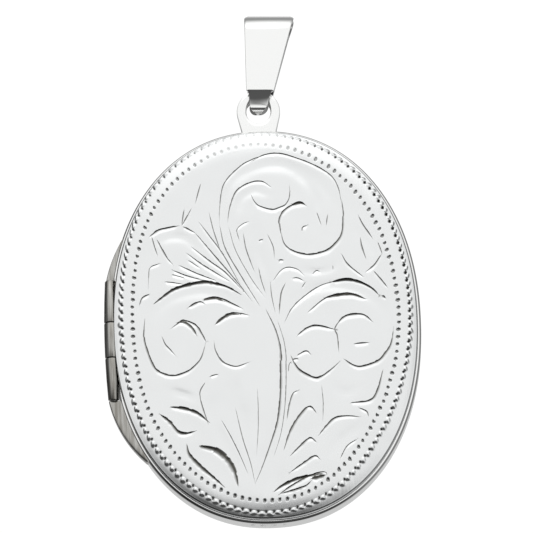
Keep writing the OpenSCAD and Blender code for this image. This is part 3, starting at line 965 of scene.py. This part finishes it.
class LOCKET_OT_cover_lining(bpy.types.Operator):
    """The front cover's inside, and the strip behind its knuckle"""

    bl_idname = "locket.cover_lining"
    bl_label = "Cover lining"

    def execute(self, context):
        finish = context.scene.locket_finish
        t = around(240)
        rings = [oval_ring(t, WALL, COVER_FLOOR)]
        for s in (1.0, 0.85, 0.7, 0.5, 0.3, 0.12):
            rings.append(oval_ring(t, 2.2, COVER_FLOOR - CROWN * (1 - s * s), s))
        points, faces = loft(rings, caps=False)
        faces = [f[::-1] for f in faces] + [[(len(rings) - 1) * 240 + k for k in range(240)][::-1]]
        silver = bright_inner_silver(finish)
        mesh_piece("cover_lining", points, faces, silver, "front_case", [])
        t = around(60, 252.5, 283.0, closed=False)
        section = [(WALL, COVER_FLOOR), (WALL, -SEAM), (WALL + 0.32, -SEAM), (WALL + 0.4, -SEAM - 0.08),
                   (WALL + 0.4, COVER_FLOOR)]
        points, faces = loft([oval_ring(t, *s) for s in section], join_ends=True, closed_rings=False)
        points = clear_of_hinge(points, own_is_middle=True)
        mesh_piece("hinge_strip_front", points, faces, silver, "front_case",
                   ["hinge_bearer_front"])
        return {"FINISHED"}


class LOCKET_OT_rear_cover(bpy.types.Operator):
    """The rear cover: a deep pressed tray with a soft outer edge"""

    bl_idname = "locket.rear_cover"
    bl_label = "Rear cover"

    def execute(self, context):
        finish = context.scene.locket_finish
        t = around(480)
        lip = 0.27
        section = [(WALL - RIM_STEP, REAR_FLOOR), (WALL - RIM_STEP, 1.2), (WALL - RIM_STEP, 0.3)]
        section += quarter(WALL - RIM_STEP, 0.06, WALL - RIM_STEP - 0.06, 0.0, 2)
        section += quarter(-RIM_STEP + lip, 0.0, -RIM_STEP, 0.45, 7, round_first_y=False)
        section += [(-RIM_STEP, y) for y in (0.62, 0.8, 0.9, 1.0, 1.1, 1.3, 1.9)]
        section += quarter(-RIM_STEP, REAR_D - 0.6, -RIM_STEP + 0.55, REAR_D, 8)
        rings = [oval_ring(t, *s) for s in section]
        # Five blank punches on the lower edge, where makers strike their marks
        for ring, (inset, y) in zip(rings, section):
            if 0.8 <= y <= 1.1 and inset < 0:
                for at in (-1.9, -0.95, -0.4, 0.3, 1.2):
                    struck = (np.abs(ring[:, 0] - at) < 0.17) & (ring[:, 2] < 0)
                    ring[struck, 2] += 0.1
        points, faces = loft(rings, caps=False)
        points = clear_of_hinge(points, own_is_middle=False)
        count = len(points)
        floor, back = list(range(480))[::-1], [count - 480 + k for k in range(480)]
        mesh_piece("rear_cover_tray", points, faces + [floor, back], polished_sterling_silver(finish),
                   "rear_case", ["rear_cover"], crease=35)
        return {"FINISHED"}


class LOCKET_OT_snap_rim(bpy.types.Operator):
    """The rim inside the case that the front cover closes over, open at the hinge"""

    bl_idname = "locket.snap_rim"
    bl_label = "Snap rim"

    def execute(self, context):
        finish = context.scene.locket_finish
        t = around(400, 284.2 - 360, 249.7, closed=False)
        back, outer, foot = WALL + 0.42, WALL + 0.07, WALL - RIM_STEP
        section = [(foot, 0.25), (foot, 1.6), (back, 1.6), (back, -0.5)]
        section += quarter(back, -0.54, back - 0.06, -0.6, 3)
        section += quarter(outer + 0.08, -0.6, outer, -0.5, 3, round_first_y=False)
        section += [(outer, 0.25)]
        points, faces = loft([oval_ring(t, *s) for s in section], join_ends=True, closed_rings=False)
        mesh_piece("snap_rim_band", points, faces, bright_inner_silver(finish), "rear_case",
                   ["snap_rim"])
        return {"FINISHED"}


class LOCKET_OT_hinge(bpy.types.Operator):
    """The hinge: three turned knuckles, the riveted pin and the crescents past its ends"""

    bl_idname = "locket.hinge"
    bl_label = "Hinge"

    def execute(self, context):
        finish = context.scene.locket_finish
        silver = grey_streaked_hinge_silver(finish)
        gap, soft = 0.05, 0.09
        for name, z0, z1, body in (
            ("knuckle_upper", MIDDLE_TOP + gap, HINGE_TOP, "rear_case"),
            ("knuckle_middle", MIDDLE_FOOT, MIDDLE_TOP, "front_case"),
            ("knuckle_lower", HINGE_FOOT, MIDDLE_FOOT - gap, "rear_case"),
        ):
            r = KNUCKLE_R
            profile = [
                (BORE_R, z0 + 0.05), (BORE_R + 0.05, z0), (r - soft, z0), (r - soft * 0.3, z0 + soft * 0.3),
                (r, z0 + soft), (r, (z0 + z1) / 2), (r, z1 - soft), (r - soft * 0.3, z1 - soft * 0.3),
                (r - soft, z1), (BORE_R + 0.05, z1), (BORE_R, z1 - 0.05), (BORE_R, (z0 + z1) / 2),
            ]
            # The barrel thins to a radius of about 0.52 at its ends, to run into the crescents
            profile = [
                (p, z) if p < r / 2 else (p - BARREL_TAPER * (z - HINGE_Z) ** 2, z) for p, z in profile
            ]
            points, faces = lathe(profile, HINGE_X)
            mesh_piece("turned_" + name, points, [f[::-1] for f in faces], silver, body,
                       ["hinge_" + name])
        ends = [(0.02, HINGE_FOOT - 0.13), (0.2, HINGE_FOOT - 0.12), (0.36, HINGE_FOOT - 0.06),
                (0.38, HINGE_FOOT - 0.01), (PIN_R, HINGE_FOOT)]
        ends += [(PIN_R, -1.0)] + [(r, HINGE_TOP + HINGE_FOOT - z) for r, z in ends[::-1]]
        a = around(48)
        rings = [np.stack([HINGE_X + r * np.sin(a), r * np.cos(a), np.full(48, z)], -1) for r, z in ends]
        points, faces = loft(rings)
        mesh_piece("riveted_pin", points, [f[::-1] for f in faces], drawn_steel_wire(finish), "rear_case",
                   ["hinge_pin"])
        # A crescent: thickest beside the barrel, tapering along the case's edge
        low, high = 0.1, 1.6
        for k, (z0, z1, centre, r) in enumerate(
            ((HINGE_TOP + 0.02, 9.4, 2.3, 13.0), (-13.2, HINGE_FOOT - 0.02, -4.7, 11.5))
        ):
            zs = np.linspace(z0, z1, 44)
            out = -15.84 + r - np.sqrt(r * r - (zs - centre) ** 2)
            t_side = np.arcsin(np.clip(np.abs(zs / HALF_H) ** (OVAL_POWER / 2), 0, 1))
            edge = -HALF_W * np.cos(t_side) ** (2 / OVAL_POWER) - RIM_STEP
            out = np.minimum(out, edge + 0.02)
            keep = edge + 0.25
            rings = []
            for z, o, i in zip(zs, out, keep):
                soft = min(0.22, (i - o) * 0.45)
                rings.append(np.array([
                    (i, low, z), (o + soft, low, z), (o + soft * 0.3, low + soft * 0.3, z),
                    (o, low + soft, z), (o, high - soft, z), (o + soft * 0.3, high - soft * 0.3, z),
                    (o + soft, high, z), (i, high, z),
                ]))
            points, faces = loft(rings)
            mesh_piece(f"hinge_crescent_{k + 1}", points, [f[::-1] for f in faces], silver, "rear_case",
                       ["hinge_bearer_rear"], crease=40)
        return {"FINISHED"}


class LOCKET_OT_photo_frames(bpy.types.Operator):
    """The two photo frames with their clear windows and blank cards"""

    bl_idname = "locket.photo_frames"
    bl_label = "Photo frames"

    def execute(self, context):
        finish = context.scene.locket_finish
        silver, film, card = bright_inner_silver(finish), clear_acetate(finish), matt_paper_card(finish)
        t = around(300)
        outer, skirt, wide = 0.91, 0.3, 1.7
        inset = outer + skirt + 0.03
        stacks = (
            ("front", "front_case", COVER_FLOOR, 1), ("rear", "rear_case", REAR_FLOOR, -1),
        )
        for side, body, floor, up in stacks:
            face = floor + up * 0.35
            top = face + up * 0.25
            lip = up * 0.25 if side == "rear" else 0.0
            section = [(outer, floor), (outer, top + lip - up * 0.08), (outer + 0.03, top + lip - up * 0.02),
                       (outer + 0.09, top + lip), (outer + skirt, top + lip), (outer + skirt + 0.06, top),
                       (outer + wide - 0.3, top), (outer + wide - 0.04, face + up * 0.05),
                       (outer + wide, face), (outer + skirt, face), (outer + skirt, floor)]
            points, faces = loft([oval_ring(t, *s) for s in section], join_ends=True)
            if up > 0:
                faces = [f[::-1] for f in faces]
            mesh_piece(f"frame_{side}", points, faces, silver, body, [f"photo_frame_{side}"])
            mid = floor + up * 0.2
            for name, (a, b), material, slot in (
                ("card", sorted((floor, mid)), card, "card"),
                ("window", sorted((mid, face)), film, "clear_acetate"),
            ):
                soft = 0.03
                rings = [oval_ring(t, inset + soft, a), oval_ring(t, inset, a + soft),
                         oval_ring(t, inset, b - soft), oval_ring(t, inset + soft, b)]
                points, faces = loft(rings)
                mesh_piece(f"{name}_{side}", points, faces, material, body, [f"photo_{name}_{side}"])
        return {"FINISHED"}


class LOCKET_OT_loop(bpy.types.Operator):
    """The flat suspension loop, with the foot that is soldered to the case's top edge"""

    bl_idname = "locket.loop"
    bl_label = "Suspension loop"

    def execute(self, context):
        finish = context.scene.locket_finish
        steps = 180
        a = around(steps)
        ring = LOOP_HOLE_R + LOOP_W
        # The foot's sides leave the ring below its middle and run straight to the case's edge
        leave = math.radians(103.4)
        turn = np.minimum(a, 2 * math.pi - a)
        side = ring / np.maximum(np.cos(turn - leave), 0.05)
        edge = (LOOP.z - CASE.z - HALF_H - RIM_STEP + 0.4) / np.maximum(-np.cos(a), 1e-6)
        outer = np.where(turn > leave, np.minimum(side, edge), ring)
        # Both faces are domed by tumbling
        half, soft, steep = 0.475, 0.36, math.radians(55)
        turns = np.linspace(0, steep, 6)
        edges = [
            (soft * (1 - math.sin(k) / math.sin(steep)), half - soft * 0.6 * (1 - math.cos(k))) for k in turns
        ]
        inside, outside = [(LOOP_HOLE_R + e, y, False) for e, y in edges], [(e, y, True) for e, y in edges]
        rings = [(r, -y, e) for r, y, e in inside[::-1]] + [(r, -y, e) for r, y, e in outside]
        rings += [(r, y, e) for r, y, e in outside[::-1]] + [(r, y, e) for r, y, e in inside]
        made = []
        for r, y, from_outer in rings:
            radius = outer - r if from_outer else np.full(steps, r)
            made.append(np.stack([radius * np.sin(a), np.full(steps, y), radius * np.cos(a)], -1))
        points, faces = loft(made, join_ends=True)
        mesh_piece("loop_ring", points, faces, polished_sterling_silver(finish), "rear_case",
                   ["suspension_loop"], origin=LOOP, crease=30)
        return {"FINISHED"}


class LOCKET_OT_bail(bpy.types.Operator):
    """The cast strap bail: wide at its fold, tapering to a narrow round bar through the loop"""

    bl_idname = "locket.bail"
    bl_label = "Bail"

    def execute(self, context):
        finish = context.scene.locket_finish
        top, fold_z, fold_r, hole_r = 9.75, 7.85, 1.9, 1.4
        foot, eye_z, eye_r, bar_z, bar_r = (1.6, 1.95), 1.5, 0.78, 0.36, 1.03

        def half_width(z):
            """Half the bail's width at a height, as seen from the front."""
            corner = 0.35
            if z > top - corner:
                return 2.45 - corner + math.sqrt(max(0.0, corner**2 - (z - top + corner) ** 2))
            if z > foot[1] - 0.05:
                return 1.38 + (2.45 - 1.38) * (z - foot[1]) / (top - corner - foot[1])
            if z > 0.65:
                return 0.93 + 0.25 * ((z - 0.65) / (foot[1] - 0.7)) ** 2
            return math.sqrt(max(0.02, 0.88**2 - (0.65 - z) ** 2)) + 0.05 * max(0, z + 0.23) / 0.88

        # Half of the side view, from the fold's top down the front to the bar's bottom: outside, then inside
        stations = []
        for k in range(17):
            a = math.radians(90 - 93 * k / 16)
            stations.append(((fold_r * math.cos(a), fold_z + fold_r * math.sin(a)),
                             (hole_r * math.cos(a), fold_z + hole_r * math.sin(a))))
        start, inner = stations[-1]
        inner_end = (eye_r, eye_z + 0.1)
        for k in range(1, 11):
            u = k / 10
            bow = 0.03 * math.sin(math.pi * u)
            stations.append((
                (start[0] + (foot[0] - start[0]) * u + bow, start[1] + (foot[1] + 0.03 - start[1]) * u),
                (inner[0] + (inner_end[0] - inner[0]) * u * 0.93,
                 inner[1] + (inner_end[1] - inner[1]) * u * 0.93),
            ))
        undercut = [
            (1.585, 1.93), (1.5, 1.82), (1.41, 1.62), (1.28, 1.3), (1.16, 0.94), (1.07, 0.62), (1.035, 0.46),
            (1.03, 0.4),
        ]
        for k, p in enumerate(undercut):
            a = math.radians(6 - 6 * k)
            stations.append((p, (eye_r * math.cos(a), eye_z + eye_r * math.sin(a))))
        for k in range(14):
            a, b = math.radians(2 - 92 * k / 13), math.radians(-42 - 48 * k / 13)
            stations.append(((bar_r * math.cos(a), bar_z + 0.59 * math.sin(a)),
                             (eye_r * math.cos(b), eye_z + eye_r * math.sin(b))))
        sides = [
            [(o, i) for o, i in stations],
            [((-o[0], o[1]), (-i[0], i[1])) for o, i in stations[-2:0:-1]],
        ]
        rings = []
        for (oy, oz), (iy, iz) in sides[0] + sides[1]:
            # The front leg lies at -y
            o, i = np.array([-oy, oz]), np.array([-iy, iz])
            wo, wi = half_width(oz), half_width(iz)
            # The eye's sides are relieved, so that the loop swings freely in it
            wi = min(wi, wo) if oz > foot[1] else min(wi, wo) - 0.26
            if oy < 0 and foot[1] < oz:
                # The rear leg is a little narrower
                less = 0.12 * min(1, max(0, (top - 0.4 - oz) / 1.5))
                wo, wi = wo - less, wi - less
            deep = (i - o) / max(np.linalg.norm(i - o), 1e-6)
            bevel = 0.24 if oz > foot[1] else 0.08 + 0.2 * min(1, max(0, (oz - 0.6) / 1.2))
            drop = 0.08 if oz > foot[1] else 0.04
            ring = []
            for x, base, sink in (
                (-wi + 0.05, i, 0), (-wi, i, -0.05), (-wo, o, drop + 0.05), (-wo + 0.03, o, drop),
                (-wo + bevel, o, 0), (wo - bevel, o, 0), (wo - 0.03, o, drop), (wo, o, drop + 0.05),
                (wi, i, -0.05), (wi - 0.05, i, 0),
            ):
                p = base + deep * sink
                ring.append((x, p[0], p[1]))
            rings.append(np.array(ring))
        points, faces = loft(rings, join_ends=True)
        points[:, 0] += BAIL_SLANT * (points[:, 2] - 0.4)
        c, s = math.cos(BAIL_LEAN), math.sin(BAIL_LEAN)
        x, z = points[:, 0] * c + points[:, 2] * s, -points[:, 0] * s + points[:, 2] * c
        points = np.stack([x, points[:, 1], z], -1)
        mesh_piece("strap_bail", points, faces, polished_sterling_silver(finish), "bail",
                   ["bail"], origin=LOOP, crease=24)
        return {"FINISHED"}


class LOCKET_OT_stage(bpy.types.Operator):
    """The pale floor, the soft light all round and the camera"""

    bl_idname = "locket.stage"
    bl_label = "Stage"

    def execute(self, context):
        scene, finish = context.scene, context.scene.locket_finish
        scene.view_settings.view_transform = "Standard"
        material, tree, out = new_material("white_painted_floor")
        place = add(tree, "ShaderNodeTexCoord").outputs["Object"]
        # Paint roller texture about 4 mm across
        orange_peel = add(tree, "ShaderNodeTexNoise", {"Vector": place}, Scale=1 / (4 * MM), Detail=2.0)
        bump = add(tree, "ShaderNodeBump", {"Height": orange_peel.outputs["Fac"]}, Distance=0.02 * MM)
        shader = add(tree, "ShaderNodeBsdfPrincipled", {"Normal": bump.outputs["Normal"]},
                     Base_Color=(*finish.floor, 1.0), Roughness=0.8)
        tree.links.new(shader.outputs["BSDF"], out.inputs["Surface"])
        mesh = bpy.data.meshes.new("floor")
        mesh.from_pydata([(-3, -3, -0.32), (3, -3, -0.32), (3, 3, -0.32), (-3, 3, -0.32)], [], [(0, 1, 2, 3)])
        mesh.materials.append(material)
        floor = bpy.data.objects.new("floor", mesh)
        floor.visible_glossy = False
        scene.collection.objects.link(floor)

        # A light tent: bright in front, dimmer towards the sides, with a pale wall behind
        world = bpy.data.worlds.new("studio")
        scene.world = world
        world.use_nodes = True
        tree = world.node_tree
        tree.nodes.clear()
        way = add(tree, "ShaderNodeTexCoord").outputs["Generated"]
        # How far each direction is to the front, from 1 in front to -1 behind
        ahead = add(tree, "ShaderNodeVectorMath", {0: way}, operation="DOT_PRODUCT")
        ahead.inputs[1].default_value = (0.0, -1.0, 0.0)
        tent = add(tree, "ShaderNodeMapRange", {"Value": ahead.outputs["Value"]},
                   interpolation_type="SMOOTHSTEP", From_Min=-0.3, From_Max=0.8, To_Min=0.3, To_Max=1.0)
        wall = add(tree, "ShaderNodeMapRange", {"Value": ahead.outputs["Value"]},
                   interpolation_type="SMOOTHSTEP", From_Min=-0.3, From_Max=-0.85, To_Min=0.0, To_Max=0.3)
        light = add(tree, "ShaderNodeMath", {0: tent.outputs["Result"], 1: wall.outputs["Result"]},
                    operation="ADD").outputs["Value"]
        # Panels in the tent, which polished silver mirrors. Each has its direction, the cosines of the angles
        # at which it begins and is full, and what it multiplies the light by.
        lights = (
            # A soft box high in front
            ((0.0, -0.53, 0.85), 0.78, 0.97, 1.45),
            # Grey cards at the left and at the right
            ((-0.97, 0.25, -0.1), 0.4, 0.75, 0.3),
            ((0.97, 0.2, 0.0), 0.4, 0.8, 0.5),
            # A dark card below
            ((-0.2, -0.28, -0.94), 0.28, 0.66, 0.09),
            # A small dark spot, a little below straight in front
            ((0.07, -0.97, -0.17), 0.996, 0.999, 0.15),
        )
        for centre, start, full, level in lights:
            toward = add(tree, "ShaderNodeVectorMath", {0: way}, operation="DOT_PRODUCT")
            toward.inputs[1].default_value = Vector(centre).normalized()
            card = add(
                tree, "ShaderNodeMapRange", {"Value": toward.outputs["Value"]},
                interpolation_type="SMOOTHSTEP", From_Min=start, From_Max=full, To_Min=1.0, To_Max=level,
            )
            light = add(tree, "ShaderNodeMath", {0: light, 1: card.outputs["Result"]},
                        operation="MULTIPLY").outputs["Value"]
        seen = add(tree, "ShaderNodeBackground", {"Strength": light}, Color=(0.995, 1.0, 1.0, 1.0))
        plain = add(tree, "ShaderNodeBackground", Color=(1.0, 1.0, 1.0, 1.0), Strength=1.05)
        path = add(tree, "ShaderNodeLightPath")
        both = add(tree, "ShaderNodeMixShader", {
            "Fac": path.outputs["Is Camera Ray"],
            1: seen.outputs["Background"], 2: plain.outputs["Background"],
        })
        sky = add(tree, "ShaderNodeOutputWorld", {"Surface": both.outputs["Shader"]})
        sky.is_active_output = True

        # The camera looks up a little from in front, and leans slightly
        lift, lean = math.radians(13), math.radians(1.9)
        forward = Vector((0, math.cos(lift), math.sin(lift)))
        upright = Vector((0, -math.sin(lift), math.cos(lift)))
        right = Vector((math.cos(lean), 0, 0)) - upright * math.sin(lean)
        up = Vector((math.sin(lean), 0, 0)) + upright * math.cos(lean)
        target = (CASE + right * 0.1 + up * 5.85) * MM
        camera = bpy.data.objects.new("camera", bpy.data.cameras.new("camera"))
        camera.data.lens, camera.data.sensor_width = 700, 36
        camera.data.clip_start, camera.data.clip_end = 0.01, 20
        turn = Matrix((right, up, -forward)).transposed().to_4x4()
        camera.matrix_world = Matrix.Translation(target - forward * 1.0185) @ turn
        scene.collection.objects.link(camera)
        scene.camera = camera
        return {"FINISHED"}


PIECES = (
    LOCKET_OT_stage, LOCKET_OT_millgrain_border, LOCKET_OT_engraved_field, LOCKET_OT_cover_lining,
    LOCKET_OT_rear_cover, LOCKET_OT_snap_rim, LOCKET_OT_hinge, LOCKET_OT_photo_frames, LOCKET_OT_loop,
    LOCKET_OT_bail,
)


class LOCKET_PT_panel(bpy.types.Panel):
    """Lists the locket's pieces, sizes and colours"""

    bl_idname = "LOCKET_PT_panel"
    bl_label = "Locket"
    bl_space_type = "VIEW_3D"
    bl_region_type = "UI"
    bl_category = "Locket"

    def draw(self, context):
        for group in (context.scene.locket_case, context.scene.locket_finish):
            box = self.layout.box()
            for name in group.__annotations__:
                box.prop(group, name)
        for piece in PIECES:
            self.layout.operator(piece.bl_idname)


CLASSES = (LocketCase, LocketFinish, *PIECES, LOCKET_PT_panel)


def register():
    for cls in CLASSES:
        bpy.utils.register_class(cls)
    bpy.types.Scene.locket_case = bpy.props.PointerProperty(type=LocketCase)
    bpy.types.Scene.locket_finish = bpy.props.PointerProperty(type=LocketFinish)


def unregister():
    del bpy.types.Scene.locket_finish
    del bpy.types.Scene.locket_case
    for cls in reversed(CLASSES):
        bpy.utils.unregister_class(cls)


def main():
    """Builds the whole locket."""
    register()
    for piece in PIECES:
        group, name = piece.bl_idname.split(".")
        getattr(getattr(bpy.ops, group), name)()


if __name__ == "__main__":
    main()
